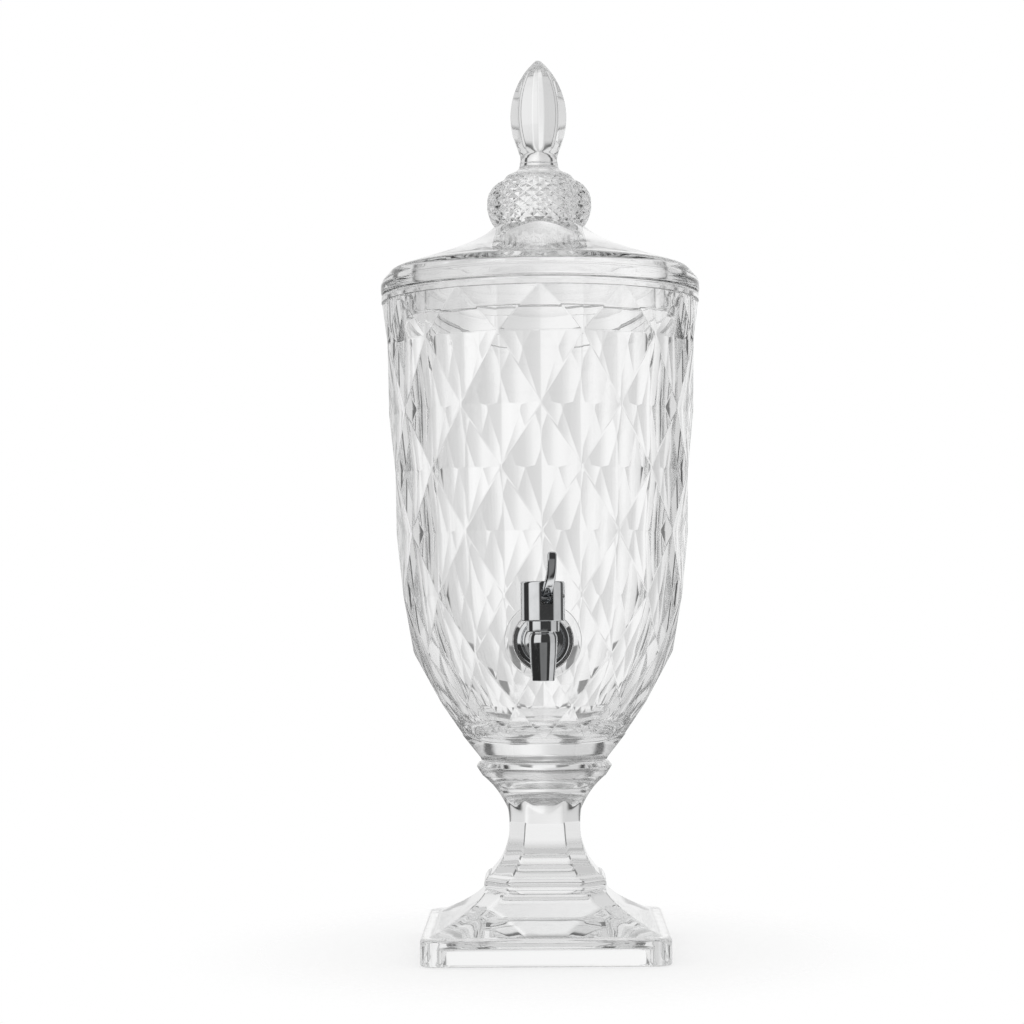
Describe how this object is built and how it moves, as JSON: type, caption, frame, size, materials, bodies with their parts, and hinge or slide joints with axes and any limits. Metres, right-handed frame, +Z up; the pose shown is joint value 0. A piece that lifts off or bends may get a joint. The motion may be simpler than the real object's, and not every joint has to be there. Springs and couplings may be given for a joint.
{
  "type": "glass beverage dispenser",
  "caption": "Footed glass drink dispenser with a diamond-cut jar, a square pedestal, a lift-off lid with a bud finial and a chromed lever tap.",
  "frame": {"origin": "centre of the plinth's underside, on the table, on the jar's axis", "axes": "+Z up along the jar's axis, -Y towards the tap and the user, +X to the user's right"},
  "size_m": [0.1796, 0.2118, 0.5],
  "materials": {
    "clear_glass": "clear pressed glass, fire polished",
    "chrome_plate": "bright chrome plating",
    "stainless": "drawn stainless steel",
    "acetal": "natural moulded plastic",
    "silicone": "milky clear silicone"
  },
  "bodies": {
    "urn": {"vessel": "clear_glass", "pedestal": "clear_glass", "tap_body": "chrome_plate", "tap_bonnet": "chrome_plate", "lever_pin": "stainless", "return_spring": "stainless", "outer_washer": "silicone", "inner_washer": "silicone", "slip_washer": "acetal", "shank_nut": "acetal"},
    "lid": {"lid_cover": "clear_glass", "lid_knop": "clear_glass", "lid_finial": "clear_glass"},
    "lever": {"tap_lever": "chrome_plate"},
    "plunger": {"plunger_stem": "acetal", "lift_collar": "stainless", "seat_cup": "silicone"}
  },
  "joints": [
    {"name": "lid_lift", "type": "slide", "parent": "urn", "child": "lid", "axis": [0, 0, 1], "range_m": [0, 0.08]},
    {"name": "lever_pull", "type": "hinge", "parent": "urn", "child": "lever", "pos_m": [0.00127, -0.10281, 0.19718], "axis": [0.9781, 0.2079, 0], "range_deg": [0, 45], "stiffness_Nm_per_rad": 0.02, "springref_deg": -22.92},
    {"name": "plunger_lift", "type": "slide", "parent": "urn", "child": "plunger", "axis": [0, 0, 1], "range_m": [0, 0.0051], "deforming": ["return_spring"]}
  ],
  "couplings": [
    {"joint": "plunger_lift", "follows": "lever_pull", "m_per_rad": 0.0064342}
  ]
}
